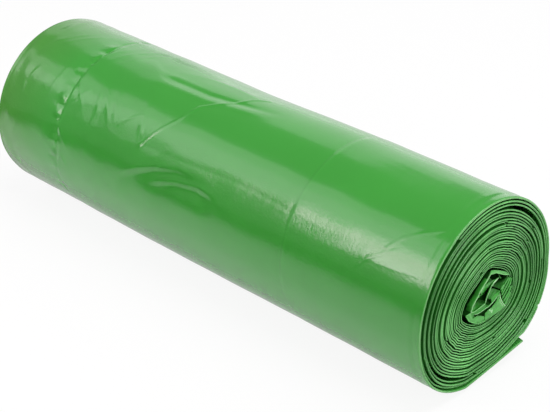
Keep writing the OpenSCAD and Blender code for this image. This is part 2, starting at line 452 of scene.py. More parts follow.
def first_seam(x, along, angle):
    """A narrow puckered groove with short folds on both sides."""
    arc = angle * ARC
    seam = FIRST_SEAM + 0.0016 * waves(23, angle / 6.0, octaves=4)
    seam = seam + 0.004 * bump(angle, 78, 12) + 0.003 * bump(angle, -10, 12)
    beyond = (along - seam) * WEB_WIDTH
    strong = 0.35 + 0.65 * smooth(angle, -6, 6) * (1 - smooth(angle, 66, 80))
    out = -0.62 * strong * (1 + 0.25 * waves(26, arc / 1.6, octaves=3)) * bump(beyond, 0.2, 0.9)
    pucker = 0.27 * waves(24, arc / 2.0, x / 7.0) * np.exp(-np.abs(beyond) / 4.5)
    out = out + pucker * np.where(beyond < 0, 1.0, 0.5)
    for centre, width, height in SEAM_PUCKERS:
        out = out + height * bump(angle, centre, width) * bump(beyond, -3.2, 3.2)
    for place, centre, slant, width, height, span in SEAM_FOLDS:
        across = x - x_at(place) + slant * (arc - centre * ARC)
        out = out + 0.65 * height * bump(across, 0, width) * bump(angle, centre, span)
    return out


def second_seam(along, angle):
    """A soft step, lower on the side than on the top."""
    beyond = (along - SECOND_SEAM - 0.0008 * waves(25, angle / 20.0)) * WEB_WIDTH
    height = 0.21 - 0.1 * smooth(angle, 40, 50)
    step = height * smooth(beyond, -1.4, 1.4) * np.exp(-np.maximum(beyond, 0) / 30)
    return step - 0.04 * bump(beyond, -0.9, 1.0)


def turned_down(along, angle):
    """The film at both ends, where it turns down over the folded edge."""
    out = 0.08 * bump(along, 0.978, 0.004) - 0.1 * bump(along, 0.9865, 0.0035)
    out = out - 0.16 * (1 - smooth(along, 0.004, 0.014))
    out = out - 0.4 * bump(along, 0.02, 0.022) * bump(angle, 69, 9)
    return out + 0.1 * waves(27, along * 130, angle / 9.0) * (1 - smooth(along, 0.03, 0.07))


def top_dent(along, angle):
    """A dent on the top and the soft folds beside it."""
    out = -0.95 * bump(along, 0.45, 0.1) * bump(angle, -22, 14)
    streak = 10.5 - 55 * np.clip(along - 0.43, 0, 1)
    fading = smooth(along, 0.3, 0.36) * (1 - smooth(along, 0.5, 0.59))
    out = out + (0.3 * bump(angle, streak + 5.5, 3.2) - 0.68 * bump(angle, streak, 2.7)) * fading
    return out + 0.25 * bump(angle, -8 + 750 * (along - 0.44) ** 2, 2.6) * bump(along, 0.44, 0.08)


def lens_fold(along, angle, path, fall, fades_in, fades_out):
    """A fold that falls quickly and comes back slowly."""
    lip = np.interp(along, *zip(*path))
    fading = smooth(along, *fades_in) * (1 - smooth(along, *fades_out))
    raised = smooth(angle, lip - 13, lip) * (1 - smooth(angle, lip, lip + 5.0))
    sunk = smooth(angle, lip, lip + 5.0) * (1 - smooth(angle, lip + 6.4, lip + 20))
    return fall * (0.4 * raised - 0.8 * sunk) * fading


def relief(x):
    """Dents, seams and creases of the outermost bag, in millimetres outwards."""
    angle = from_top[:, None]
    along = (x + HALF) / WEB_WIDTH
    out = film_waves(along, angle) + first_seam(x, along, angle) + second_seam(along, angle)
    out = out + turned_down(along, angle) + top_dent(along, angle)
    for fold in LENS_FOLDS:
        out = out + lens_fold(along, angle, *fold)
    for crease in CREASES:
        out = out + ridge(x, angle * ARC, *crease)
    keep = np.where(outer_turn >= TURNS, 0.15, 1.0)[:, None] * smooth(angle, -193, -170)
    return np.maximum(out * keep, -1.1)


# A short stretch of the near edge beside the outermost joint stands 1 mm further out, in turns.
TAB_START = (26.146, 26.149)
TAB_END = (26.205, 26.208)
outer_near = HALF - edge_back(outer_length, outer_turn, 5)
outer_near += smooth(outer_turn, *TAB_START) * (1 - smooth(outer_turn, *TAB_END))
OUTER_COLUMNS = 330
outer_mid = np.concatenate([turn_point(outer_stops), flap_rest])
outer = web_mesh(
    "outer_bag",
    outer_mid,
    np.full(len(outer_mid), OUTER_THICKNESS / 2),
    outer_near,
    -HALF + edge_back(outer_length, outer_turn, 6),
    np.linspace(0, 1, OUTER_COLUMNS + 2)[1:-1],
    inner=7,
    relief=relief,
    place=place_outer,
)

# The crumpled start. Each point is y and z as the camera sees it in the plane of the near end, and its
# depth there. The edge of the inner part stands further back.
START_LINE = [
    (7.5, 62.0, 3.0), (3.0, 60.2, 2.5), (0.3, 56.8, 2.0), (-1.5, 52.3, 1.5), (-3.2, 50.4, 1.5),
    (-7.5, 49.6, 1.5), (-12.3, 49.4, 1.5), (-10.0, 47.0, 1.2), (-5.2, 46.4, 1.2), (0.2, 47.5, 1.2),
    (5.2, 49.2, 1.0), (10.2, 51.4, 1.0), (13.0, 54.5, 1.0), (17.6, 60.2, 0.6), (12.5, 62.9, 0.6),
    (7.5, 65.6, 0.6), (0.6, 68.4, 0.6), (-1.2, 66.0, 0.6), (-3.8, 63.2, 0.6), (-6.2, 60.8, 0.6),
    (-8.2, 58.2, 0.6), (-11.0, 56.0, 0.6), (-12.8, 53.3, 0.6), (-14.2, 50.6, 0.6), (-17.6, 49.4, 0.8),
    (-13.0, 45.4, 0.8), (-8.0, 41.7, 0.8), (-4.6, 38.9, 0.5),
]
INNER_POINTS = 13
INNER_DEPTH = 11.0
BEND_DEPTH = 3.0
START_STOPS = 190
START_COLUMNS = np.concatenate(
    [np.linspace(0.004, 0.1, 22), np.linspace(0.14, 0.86, 14), np.linspace(0.9, 0.996, 22)]
)
CRUMPLED_HALF = 0.17


def seen_through(y, z, depth):
    """Where a point at that depth is, when it is seen at y and z in the plane of the near end."""
    return y + 1.43 * depth, z - 1.08 * depth


corner = np.array([seen_through(*point) for point in START_LINE])
start_line = np.concatenate([corner, turn_point(np.array([0.0, 0.02]))])
start_run = running_length(start_line)
start_at = np.unique(np.concatenate([np.linspace(0, start_run[-1], START_STOPS), start_run]))
start_mid = np.stack([np.interp(start_at, start_run, start_line[:, k]) for k in (0, 1)], 1)
stands_back = [INNER_DEPTH] * (INNER_POINTS - 1) + [BEND_DEPTH]
stands_back += [depth for _, _, depth in START_LINE[INNER_POINTS:]]
start_depth = np.interp(start_at, start_run[: len(corner)], stands_back)


def place_start(y, z, x):
    """The crumpled film, with creases that wander along the roll."""
    run = start_at[:, None] / 4.5
    loose = 0.3 * smooth(HALF - np.abs(x), 2, 14) * smooth(start_run[-1] - start_at, 3, 14)[:, None]
    return y + loose * waves(33, run, x / 9.0), z + loose * waves(34, run, x / 9.0)


start = web_mesh(
    "crumpled_start",
    start_mid,
    np.full(len(start_mid), CRUMPLED_HALF),
    HALF - start_depth + 0.08 * waves(31, start_at / 2.2),
    -HALF + start_depth + 0.2 * waves(32, start_at / 2.2),
    START_COLUMNS,
    inner=len(START_COLUMNS),
    place=place_start,
)

# The folds that fill the mouth of the hollow. Each facet's corners are y, z and depth as above, and a
# painted shading from 0, painted deep shade, to 2, a pale painted highlight.
FACETS = [
    # the shade between the first turns on the right
    [(17.8, 58.2, 1.7, 0.15), (14.2, 55.4, 1.7, 0.2), (11.3, 53.2, 1.7, 0.25), (10.9, 50.2, 1.7, 0.25),
     (13.4, 44.8, 1.7, 0.25), (16.4, 40.8, 1.7, 0.3), (19.6, 44.3, 1.7, 0.2), (20.8, 50.0, 1.7, 0.15),
     (20.5, 55.0, 1.7, 0.15), (19.0, 58.6, 1.7, 0.15)],
    # the film folded back along the top
    [(0.3, 67.5, 0.6, 1.35), (0.8, 69.9, 0.9, 0.9), (4.3, 68.7, 0.9, 1.1), (9.4, 66.2, 0.9, 1.1),
     (13.8, 63.7, 0.8, 1.1), (17.7, 60.6, 0.8, 1.0), (13.6, 61.8, 0.6, 1.35), (9.2, 64.4, 0.5, 1.4),
     (5.6, 66.5, 0.5, 1.4)],
    # the wrinkled film under the upper left edge
    [(0.4, 67.3, 1.0, 0.4), (-1.2, 65.3, 0.9, 0.5), (-3.4, 63.6, 0.9, 0.6), (-5.2, 62.0, 1.0, 0.9),
     (-1.5, 62.4, 2.0, 0.6), (2.4, 63.6, 2.6, 0.4), (0.8, 65.6, 2.4, 0.2)],
    [(-5.2, 62.0, 1.0, 1.3), (-6.5, 60.6, 1.1, 1.3), (-6.3, 58.2, 1.4, 1.1), (-4.2, 58.7, 2.0, 1.0),
     (-1.0, 60.2, 2.4, 1.0), (2.3, 61.4, 2.6, 1.0), (5.2, 62.6, 2.6, 1.1), (2.6, 63.3, 2.7, 0.8),
     (-1.5, 62.6, 2.0, 1.2)],
    [(-6.3, 58.0, 1.4, 0.9), (-4.2, 58.6, 2.0, 0.7), (-1.0, 60.1, 2.4, 0.6), (2.0, 61.2, 2.8, 0.5),
     (1.0, 59.8, 3.4, 0.2), (-2.2, 58.6, 3.6, 0.15), (-5.0, 57.2, 3.2, 0.3), (-8.6, 57.0, 1.2, 1.2),
     (-8.4, 58.6, 0.9, 1.3)],
    # the opening at the top, painted dark as deep shade, with one fold across it painted brighter
    [(0.5, 67.4, 4.0, 0), (5.7, 66.6, 4.0, 0), (9.2, 64.7, 4.0, 0), (13.7, 62.1, 3.2, 0),
     (17.3, 60.2, 2.2, 0.05), (13.8, 59.6, 3.6, 0), (10.8, 59.8, 4.0, 0), (8.1, 61.0, 4.4, 0),
     (4.7, 61.9, 4.4, 0), (0.6, 65.0, 4.2, 0)],
    [(8.0, 64.6, 2.6, 0.5), (8.7, 64.3, 2.6, 0.4), (9.6, 62.4, 2.4, 0.6), (11.2, 60.7, 2.2, 1.1),
     (10.2, 60.8, 2.2, 0.9), (8.8, 62.6, 2.4, 0.6)],
    # the pocket beside the crease painted bright, itself painted dark as deep shade
    [(-10.0, 56.5, 3.0, 0.1), (-8.6, 57.0, 3.0, 0.1), (-5.0, 57.4, 3.6, 0), (-2.2, 59.0, 4.2, 0),
     (1.2, 60.2, 4.2, 0.05), (-0.7, 55.6, 5.0, 0), (-1.9, 51.6, 4.0, 0), (-4.4, 54.1, 4.6, 0),
     (-7.3, 55.3, 4.0, 0.1)],
    [(-13.5, 52.4, 1.2, 1.0), (-13.0, 53.6, 1.2, 0.8), (-11.2, 55.9, 1.5, 0.45), (-9.8, 56.4, 2.4, 0.2),
     (-7.3, 55.6, 4.0, 0.25), (-4.4, 54.4, 4.5, 0.15), (-2.0, 51.5, 3.5, 0.3), (-4.4, 50.6, 2.2, 0.7),
     (-7.3, 50.2, 1.8, 0.8), (-10.7, 49.8, 1.4, 0.7), (-13.7, 50.6, 1.2, 0.9)],
    # between the two light edges
    [(-13.6, 50.3, 0.9, 1.1), (-10.7, 49.5, 0.9, 0.9), (-7.3, 50.0, 0.9, 0.9), (-4.4, 50.4, 0.9, 0.7),
     (-1.9, 50.8, 1.0, 0.6), (-0.8, 49.6, 1.6, 0.4), (1.8, 48.4, 1.8, 0.4), (1.2, 47.6, 1.2, 0.8),
     (-2.2, 47.5, 1.0, 0.9), (-5.6, 47.2, 1.0, 0.9), (-9.0, 47.4, 1.0, 0.9), (-10.8, 48.2, 1.0, 0.7),
     (-12.4, 47.2, 0.8, 0.7)],
    [(-1.7, 51.0, 3.0, 0.1), (-0.4, 53.0, 3.0, 0.15), (1.4, 51.6, 3.2, 0.05), (3.6, 49.5, 2.6, 0.1),
     (3.9, 48.3, 2.2, 0.2), (1.8, 48.2, 2.2, 0.2), (-0.8, 49.6, 2.4, 0.2)],
    # the folds right of the crease, and the deep groove between them, painted dark as shade
    [(2.4, 58.2, 1.8, 0.53), (4.4, 57.3, 2.2, 0.48), (7.6, 55.2, 2.0, 0.53), (10.9, 53.1, 1.4, 0.63),
     (5.8, 52.7, 1.2, 0.73), (3.2, 51.6, 1.0, 0.73), (1.4, 51.7, 1.6, 0.43), (-0.2, 53.2, 1.8, 0.33),
     (-1.0, 54.0, 1.2, 0.53), (0.4, 56.6, 1.2, 0.73), (1.4, 57.9, 1.2, 0.73)],
    [(2.0, 59.4, 3.6, 0), (3.9, 58.7, 3.8, 0), (7.2, 56.7, 3.6, 0), (11.0, 53.8, 2.0, 0.03),
     (10.9, 53.0, 1.8, 0.13), (7.6, 54.9, 2.6, 0), (4.4, 57.0, 2.8, 0), (2.0, 58.0, 3.0, 0)],
    [(2.8, 59.4, 2.2, 0.23), (6.4, 60.8, 2.4, 0.02), (8.4, 61.0, 2.2, 0), (10.6, 60.2, 2.2, 0),
     (14.0, 59.6, 1.6, 0.02), (17.3, 59.7, 0.9, 0.3), (17.2, 58.0, 0.9, 0.6), (13.8, 55.8, 1.0, 0.66),
     (11.3, 53.7, 1.2, 0.5), (7.0, 56.5, 2.6, 0.3), (3.8, 58.6, 2.6, 0.25)],
    [(3.0, 51.6, 1.0, 0.88), (5.8, 52.8, 1.0, 1.03), (11.0, 53.2, 0.9, 0.93), (10.5, 51.6, 0.7, 1.13),
     (8.1, 50.2, 0.7, 1.08), (5.8, 49.1, 0.8, 0.98), (3.9, 48.5, 0.9, 0.93)],
    # the flap along the bottom, and the shade it lies under
    [(-10.9, 48.0, 2.0, 0.3), (-9.0, 47.1, 2.0, 0.2), (-5.6, 46.9, 2.2, 0.15), (-2.2, 47.2, 2.2, 0.15),
     (1.2, 47.3, 2.2, 0.2), (4.7, 48.2, 2.2, 0.2), (8.1, 49.9, 2.0, 0.2), (10.3, 51.2, 1.2, 0.5),
     (8.4, 47.6, 1.4, 0.35), (4.8, 45.6, 1.4, 0.3), (1.2, 44.9, 1.4, 0.2), (-3.3, 44.4, 1.2, 0.05),
     (-7.8, 45.8, 1.0, 0.3), (-11.6, 46.0, 0.9, 0.6)],
    [(-14.0, 50.4, 0.8, 0.9), (-10.8, 48.1, 1.2, 0.5), (-11.5, 46.0, 0.9, 0.6), (-12.2, 45.6, 0.7, 0.9),
     (-13.8, 48.6, 0.7, 1.0)],
    [(-11.6, 46.0, 0.5, 1.1), (-7.8, 45.9, 0.5, 1.15), (-3.6, 43.9, 0.5, 1.15), (-1.9, 43.0, 0.5, 1.1),
     (-1.7, 40.4, 0.4, 1.1), (-6.1, 40.9, 0.4, 1.15), (-9.5, 42.8, 0.4, 1.2), (-12.0, 44.8, 0.4, 1.2)],
    [(-18.3, 50.6, 0.7, 1.3), (-13.9, 50.6, 0.6, 1.35), (-13.5, 48.4, 0.5, 1.25), (-11.7, 45.5, 0.4, 1.3),
     (-9.3, 42.7, 0.4, 1.3), (-6.0, 40.6, 0.4, 1.3), (-10.3, 42.4, 0.7, 1.1), (-14.9, 45.6, 0.8, 1.1)],
    [(-1.3, 44.5, 0.4, 1.05), (1.2, 45.0, 0.35, 1.1), (4.7, 45.8, 0.3, 1.1), (8.1, 47.8, 0.3, 1.0),
     (10.3, 51.2, 0.3, 1.3), (11.3, 48.2, 0.3, 1.3), (13.8, 44.2, 0.3, 1.35), (16.5, 40.7, 0.3, 1.25),
     (13.8, 39.9, 0.3, 1.1), (8.1, 39.5, 0.3, 1.1), (2.4, 39.5, 0.3, 1.1), (-1.5, 40.0, 0.4, 1.1)],
    [(0.2, 45.0, 0.15, 1.15), (3.2, 45.5, 0.1, 1.3), (6.2, 45.0, 0.1, 1.2), (8.2, 43.4, 0.15, 1.1),
     (6.4, 41.2, 0.15, 1.1), (3.2, 41.2, 0.15, 1.15), (1.2, 42.6, 0.15, 1.15)],
    [(1.6, 44.9, 0.0, 1.6), (2.6, 45.3, 0.0, 1.9), (4.2, 44.2, 0.0, 2.0), (5.8, 43.7, 0.0, 1.4),
     (5.4, 41.9, 0.0, 1.7), (4.4, 41.7, 0.0, 1.9), (3.4, 42.9, 0.0, 2.0)],
    [(9.6, 47.6, 0.1, 1.2), (10.8, 48.0, 0.1, 1.6), (12.4, 45.4, 0.1, 1.9), (14.6, 42.0, 0.1, 1.9),
     (13.9, 41.8, 0.1, 1.6), (12.2, 43.8, 0.1, 1.4)],
    [(-7.9, 46.4, 0.3, 0.1), (-3.3, 44.9, 0.3, 0), (-1.2, 44.5, 0.3, 0.05), (-1.2, 41.6, 0.3, 0.5),
     (-1.8, 41.4, 0.3, 0.4), (-2.1, 43.0, 0.3, 0), (-3.7, 43.8, 0.3, 0), (-7.9, 45.9, 0.3, 0.3)],
    [(-8.3, 59.9, 0.3, 0), (-6.7, 58.2, 0.3, 0), (-8.2, 58.8, 0.3, 0.1)],
]
# Folded edges: points y, z, depth, then the fold's radius, how far back it shows, and its painted shading at
# the fold and behind, where the painted shade deepens further back.
EDGES = [
    ([(-14.2, 50.4, 0.7), (-13.8, 51.5, 0.6), (-13.2, 53.8, 0.6), (-11.2, 56.1, 0.6), (-9.0, 58.0, 0.6),
      (-7.8, 60.0, 0.6), (-5.6, 62.0, 0.6), (-3.3, 64.0, 0.6), (-1.0, 65.7, 0.6), (0.4, 67.5, 0.7)], 0.3,
      (3.4, 1.9), 1.7, 1.0),
    ([(0.2, 67.6, 0.7), (5.6, 66.5, 0.6), (9.2, 64.4, 0.6), (13.6, 61.8, 0.7),
      (17.5, 60.2, 0.9)], 0.26, 1.0, 1.5, 1.2),
    ([(8.4, 62.2, 1.4), (6.4, 62.1, 1.1), (4.7, 61.6, 1.0), (2.6, 60.0, 0.9), (1.4, 58.1, 0.9),
      (0.4, 56.6, 1.0), (-0.4, 55.2, 1.0), (-1.3, 53.2, 1.0), (-1.9, 51.0, 1.0)], 0.22, 0.3, 1.7, 1.0),
    ([(7.2, 62.0, 0.9), (5.4, 61.3, 0.7), (3.8, 60.6, 0.6), (2.9, 59.6, 0.8)], 0.34, 0.5, 1.9, 1.3),
    ([(-13.8, 50.6, 0.8), (-10.7, 49.7, 0.8), (-7.3, 50.1, 0.8), (-4.4, 50.5, 0.8),
      (-1.9, 50.8, 0.9)], 0.17, 0.3, 1.6, 0.8),
    ([(-10.9, 48.2, 0.8), (-9.0, 47.3, 0.8), (-5.6, 47.1, 0.8), (-2.2, 47.4, 0.8), (1.2, 47.5, 0.8),
      (4.7, 48.4, 0.8), (8.1, 50.1, 0.8), (10.4, 51.5, 0.7)], 0.18, 0.3, 1.65, 0.8),
    ([(10.4, 51.6, 0.3), (11.3, 48.2, 0.2), (13.8, 44.2, 0.2), (16.5, 40.7, 0.3)], 0.3, 0.3, 1.75, 1.2),
    ([(-18.4, 50.7, 0.7), (-15.0, 45.7, 0.7), (-10.3, 42.4, 0.6), (-6.2, 40.4, 0.5),
      (-1.2, 39.7, 0.4)], 0.26, 0.5, 1.35, 1.0),
    ([(17.4, 58.0, 0.9), (13.8, 55.6, 0.9), (11.2, 53.4, 0.9)], 0.25, 0.3, 1.5, 1.0),
    # the first turns as they come out from under the flap
    ([(17.6, 58.4, 0.8), (15.0, 56.2, 0.8), (12.9, 53.8, 0.8), (11.8, 51.6, 0.8)], 0.62, 0.8, 1.1, 0.2),
    ([(19.0, 57.8, 0.8), (16.9, 54.7, 0.8), (14.2, 51.7, 0.8), (12.1, 49.5, 0.8)], 0.66, 0.8, 1.15, 0.2),
    ([(20.4, 57.0, 0.8), (19.2, 53.9, 0.8), (17.2, 51.2, 0.8), (15.0, 48.8, 0.8),
      (12.8, 46.8, 0.8)], 0.7, 0.8, 1.05, 0.2),
    ([(20.6, 52.0, 0.8), (19.0, 49.2, 0.8), (16.8, 46.6, 0.8), (14.2, 44.4, 0.8)], 0.8, 0.8, 1.1, 0.2),
    ([(20.2, 48.2, 0.8), (18.6, 45.8, 0.8), (16.8, 43.6, 0.8), (15.2, 42.0, 0.8)], 0.7, 0.8, 1.1, 0.2),
]


def inside(point, polygon):
    """Whether a point lies in a polygon."""
    y, z = point
    found = False
    for (y0, z0), (y1, z1) in zip(polygon, polygon[1:] + polygon[:1]):
        if (z0 > z) != (z1 > z) and y < y0 + (z - z0) * (y1 - y0) / (z1 - z0):
            found = not found
    return found


# How far apart a facet's points are: round its outline, from row to row, along a row, and at least from
# the outline.
OUTLINE_STEP = 0.8
ROW_STEP = 0.62
POINT_STEP = 0.7
LEAST_APART = 0.36
EDGE_STEP = 0.45


def facet_mesh(corners, seed):
    """A softly creased facet: its points, as y, z, depth and painted shading, and its triangles."""
    ring = []
    for first, last in zip(corners, corners[1:] + corners[:1]):
        first, last = np.array(first), np.array(last)
        count = max(1, int(np.linalg.norm((last - first)[:2]) / OUTLINE_STEP))
        ring += [first + (last - first) * k / count for k in range(count)]
    ring = np.array(ring)
    outline = [tuple(point) for point in ring[:, :2]]
    low, high = ring[:, :2].min(0), ring[:, :2].max(0)
    rows = [ring]
    for row, z in enumerate(np.arange(low[1] + 0.35, high[1], ROW_STEP)):
        for y in np.arange(low[0] + 0.3 + POINT_STEP / 2 * (row % 2), high[0], POINT_STEP):
            away = np.hypot(*(ring[:, :2] - (y, z)).T)
            if away.min() > LEAST_APART and inside((y, z), outline):
                weight = away**-2.5
                depth, painted_shading = (ring[:, 2:] * weight[:, None]).sum(0) / weight.sum()
                crease = 0.16 * waves(seed, y / 1.1, z / 1.1, octaves=2)
                rise = min(1.0, (away.min() - 0.3) / 1.2)
                rows.append(np.array([[y, z, depth - rise * (0.15 + crease), painted_shading]]))
    points = np.concatenate(rows)
    flat = [Vector(point[:2]) for point in points]
    _, _, faces, source, _, _ = delaunay_2d_cdt(flat, [], [list(range(len(ring)))], 1, 1e-5)
    return points[[found[0] for found in source]], faces


def edge_mesh(line, radius, back, painted_shading, behind):
    """A folded edge along a line: a small round fold with its two sides running back."""
    line = np.array(line)
    run = running_length(line)
    at = np.linspace(0, run[-1], max(6, int(run[-1] / EDGE_STEP)))
    middle = np.stack([np.interp(at, run, line[:, k]) for k in range(3)], 1)
    middle[1:-1] = (middle[:-2] + 2 * middle[1:-1] + middle[2:]) / 4
    across = -outward(middle[:, :2])
    # The fold in section, from one side to the other: sideways, deeper, and its painted shading.
    half = [(-0.7, -0.7, painted_shading), (-1, 0.1, behind), (-1, 0.6, behind * 0.9), (-1, 1, behind * 0.7)]
    section = half[::-1] + [(0, -1, painted_shading)] + [(-side, deeper, shade) for side, deeper, shade in half]
    first, last = back if isinstance(back, tuple) else (back, back)
    legs = first + (last - first) * at / run[-1]
    taper = np.clip(np.minimum(at, run[-1] - at) / 0.8, 0.25, 1)
    rows = []
    for side, deeper, shade in section:
        y, z = seen_through(*(middle[:, :2] + across * (side * radius * taper)[:, None]).T, middle[:, 2])
        level = deeper * (legs if deeper > 0 else min(radius, 0.35))
        rows.append(np.stack([y, z, middle[:, 2] + level, np.full(len(at), shade)], 1))
    width = len(section)
    here = [row * width + k for row in range(len(at) - 1) for k in range(width - 1)]
    faces = [(corner, corner + 1, corner + width + 1, corner + width) for corner in here]
    return np.stack(rows, 1).reshape(-1, 4), faces


# How thick the film of the folds is, and the palest painted shading at the far end, where painted highlights
# are held lower.
THIN_FILM = 0.12
FAR_PAINTED_SHADING = 1.25


def crumpled_folds(name, side, jitter):
    """The film gathered in the mouth of the hollow, at the near end, side 1, or the far end, side -1."""
    corners, painted_shadings, faces = [], [], []

    def add(points, y, z, added):
        faces.extend([[corner + len(corners) for corner in face] for face in added])
        corners.extend(np.stack([y, z, points[:, 2]], 1).tolist())
        painted_shadings.extend(points[:, 3].tolist())

    for k, facet in enumerate(FACETS):
        points, triangles = facet_mesh(facet, 50 + k)
        add(points, *seen_through(*points[:, :3].T), triangles)
    for edge in EDGES:
        points, quads = edge_mesh(*edge)
        add(points, *points[:, :2].T, quads)
    place = np.array(corners)
    shift = [waves(61 + k, place[:, 0] / 4, place[:, 1] / 4, octaves=3) for k in range(3)]
    y, z, depth = (place + jitter * np.stack(shift, 1)).T
    where = np.stack([side * (HALF - np.maximum(depth, 0.0)), y, z], 1) * MM
    mesh = bpy.data.meshes.new(name)
    mesh.from_pydata(where.tolist(), [], faces if side > 0 else [face[::-1] for face in faces])
    mesh.polygons.foreach_set("use_smooth", [True] * len(faces))
    store(mesh, "painted_shading", np.minimum(painted_shadings, 2 if side > 0 else FAR_PAINTED_SHADING))
    obj = new_object(name, mesh)
    shell = obj.modifiers.new("thickness", "SOLIDIFY")
    shell.thickness = THIN_FILM * MM
    shell.offset = -1
    rounded = obj.modifiers.new("rounded", "SUBSURF")
    rounded.levels = rounded.render_levels = 1
    return obj


near_folds = crumpled_folds("crumpled_folds_near", 1, 0.0)
far_folds = crumpled_folds("crumpled_folds_far", -1, 0.5)

# Materials
OLIVE = (0.064, 0.262, 0.038, 1)
DEEP_SHADE = (0.001, 0.008, 0.001)
PALE_GLINT = (0.5, 0.8, 0.46)
# Noises: how fine, and how many layers of detail
CLOUDS = (16, 4)
RIM_LIGHT_PATCHES = (55, 2)
FINE_GRAIN = (600, 3)
DRAWN_LINES = (1, 3)
# How fine the drawn lines are along X, Y and Z
DRAWN_STRETCH = (260, 30, 30)
GRAIN_DEPTH = 0.0004
# Where the outermost bag turns olive along X, and the line of its second seam with its reach.
OLIVE_RANGE = (-0.125, -0.172)
SEAM_X = x_at(SECOND_SEAM) * MM
SEAM_REACH = 0.004
SEAM_LINE = [(0.32, 1), (0.46, 0.93), (0.6, 1.05), (0.78, 1)]
# The outermost bag has its full grain between the middle two heights, and the faint one beyond all four.
FLANK = (0.03, 0.055, 0.09, 0.1)
FAINT_GRAIN = 0.05


def set_inputs(tree, target, values):
    """Each value is a constant, or the output that feeds the input."""
    for socket, value in values.items():
        if isinstance(value, bpy.types.NodeSocket):
            tree.links.new(value, target.inputs[socket])
        else:
            target.inputs[socket].default_value = value


def node(tree, kind, values=None, **settings):
    """A new node with those inputs and settings."""
    made = tree.nodes.new("ShaderNode" + kind)
    for name, value in settings.items():
        setattr(made, name, value)
    set_inputs(tree, made, values or {})
    return made


def calculated(tree, operation, first, second):
    """Two numbers worked into one."""
    return node(tree, "Math", {0: first, 1: second}, operation=operation).outputs["Value"]


def mixed(tree, factor, first, second, kind="RGBA", blend="MIX"):
    """Two colours mixed by a factor, or two numbers if the kind is FLOAT."""
    values = {"Factor": factor, "A": first, "B": second}
    return node(tree, "Mix", values, data_type=kind, blend_type=blend).outputs["Result"]


def mapped(tree, value, low, high, to_low=0.0, to_high=1.0):
    """A value mapped from one range onto another, and held at its ends."""
    values = {"Value": value, "From Min": low, "From Max": high, "To Min": to_low, "To Max": to_high}
    return node(tree, "MapRange", values).outputs["Result"]


def colour_ramp(tree, factor, stops):
    """A colour ramp. Each stop is a place and a grey or a colour."""
    made = node(tree, "ValToRGB", {"Fac": factor})
    elements = made.color_ramp.elements
    elements[0].position, elements[1].position = stops[0][0], stops[-1][0]
    for place, _ in stops[1:-1]:
        elements.new(place)
    for element, (_, colour) in zip(elements, stops):
        element.color = (*(colour if isinstance(colour, tuple) else (colour,) * 3), 1)
    return made.outputs["Color"]


def film_material(name, base, tip, grain, gloss, coat, reads_painted_shading=False, outermost=False):
    """Glossy green film: cloudy colour, a pale painted highlight on folded edges, drawn lines and a fine
    grain.
    """
    mat = bpy.data.materials.new(name)
    mat.use_nodes = True
    tree = mat.node_tree
    position = node(tree, "TexCoord").outputs["Object"]

    def noise(scale, detail, vector=position):
        return node(tree, "TexNoise", {"Vector": vector, "Scale": scale, "Detail": detail}).outputs["Fac"]

    def attribute(kind):
        return node(tree, "Attribute", attribute_name=kind).outputs["Fac"]

    darker, lighter = (*[part * 0.9 for part in base], 1), (*[part * 1.1 for part in base], 1)
    cloud = mixed(tree, noise(*CLOUDS), darker, lighter)
    # Folded edges are painted paler as a highlight, more strongly in some patches than in others.
    rim = calculated(tree, "POWER", attribute("fold"), 1.5)
    painted_rim_light = calculated(tree, "MULTIPLY", rim, mapped(tree, noise(*RIM_LIGHT_PATCHES), 0.35, 0.65, 0.55, 1.0))
    colour = mixed(tree, painted_rim_light, cloud, (*tip, 1))
    if outermost:
        # Its far end is more olive, its second seam is a fine line, and its grain is rougher on the flanks.
        place = node(tree, "SeparateXYZ", {"Vector": position}).outputs
        colour = mixed(tree, mapped(tree, place["X"], *OLIVE_RANGE), colour, OLIVE)
        across_seam = mapped(tree, place["X"], SEAM_X - SEAM_REACH, SEAM_X + SEAM_REACH)
        line = colour_ramp(tree, across_seam, SEAM_LINE)
        colour = mixed(tree, 1.0, colour, line, blend="MULTIPLY")
        strengths = (FAINT_GRAIN, grain, grain, FAINT_GRAIN)
        grain = colour_ramp(tree, place["Z"], list(zip(FLANK, strengths)))
    if reads_painted_shading:
        # Painted shading: below 1 painted deep shade, at 1 the film's own colour, above it painted
        # highlights; the gloss goes where shade is painted.
        painted_shading = attribute("painted_shading")
        gloss = mapped(tree, painted_shading, 0.1, 1.0, 0.0, gloss)
        stops = [(0, DEEP_SHADE), (0.5, base), (0.75, tip), (1, PALE_GLINT)]
        shades = colour_ramp(tree, mapped(tree, painted_shading, 0, 2), stops)
        colour = mixed(tree, 0.98, colour, shades)

    drawn = node(tree, "Mapping", {"Vector": position, "Scale": DRAWN_STRETCH}).outputs["Vector"]
    height = calculated(tree, "ADD", noise(*FINE_GRAIN), noise(*DRAWN_LINES, drawn))
    rough = node(tree, "Bump", {"Strength": grain, "Distance": GRAIN_DEPTH, "Height": height})
    shader = {
        "Base Color": colour,
        "Roughness": mapped(tree, height, 0.6, 1.4, 0.13, 0.24),
        "IOR": 1.5,
        "Specular IOR Level": gloss,
        "Coat Weight": coat,
        "Coat Roughness": 0.1,
        "Normal": rough.outputs["Normal"],
    }
    set_inputs(tree, tree.nodes["Principled BSDF"], shader)
    return mat


# The outer bag's folded ends carry a pale painted highlight.
BAG_FILM = film_material(
    "green_film", (0.042, 0.3, 0.036), (0.2, 0.52, 0.17), grain=0.2, gloss=0.5, coat=0.25, outermost=True
)
# The turns' film is darkened as painted shade in the grooves between the turns, and their folded edges carry
# a pale painted highlight.
TURNS_FILM = film_material(
    "green_film_turns", (0.014, 0.125, 0.012), (0.255, 0.8, 0.225), grain=0.1, gloss=0.4, coat=0.1
)
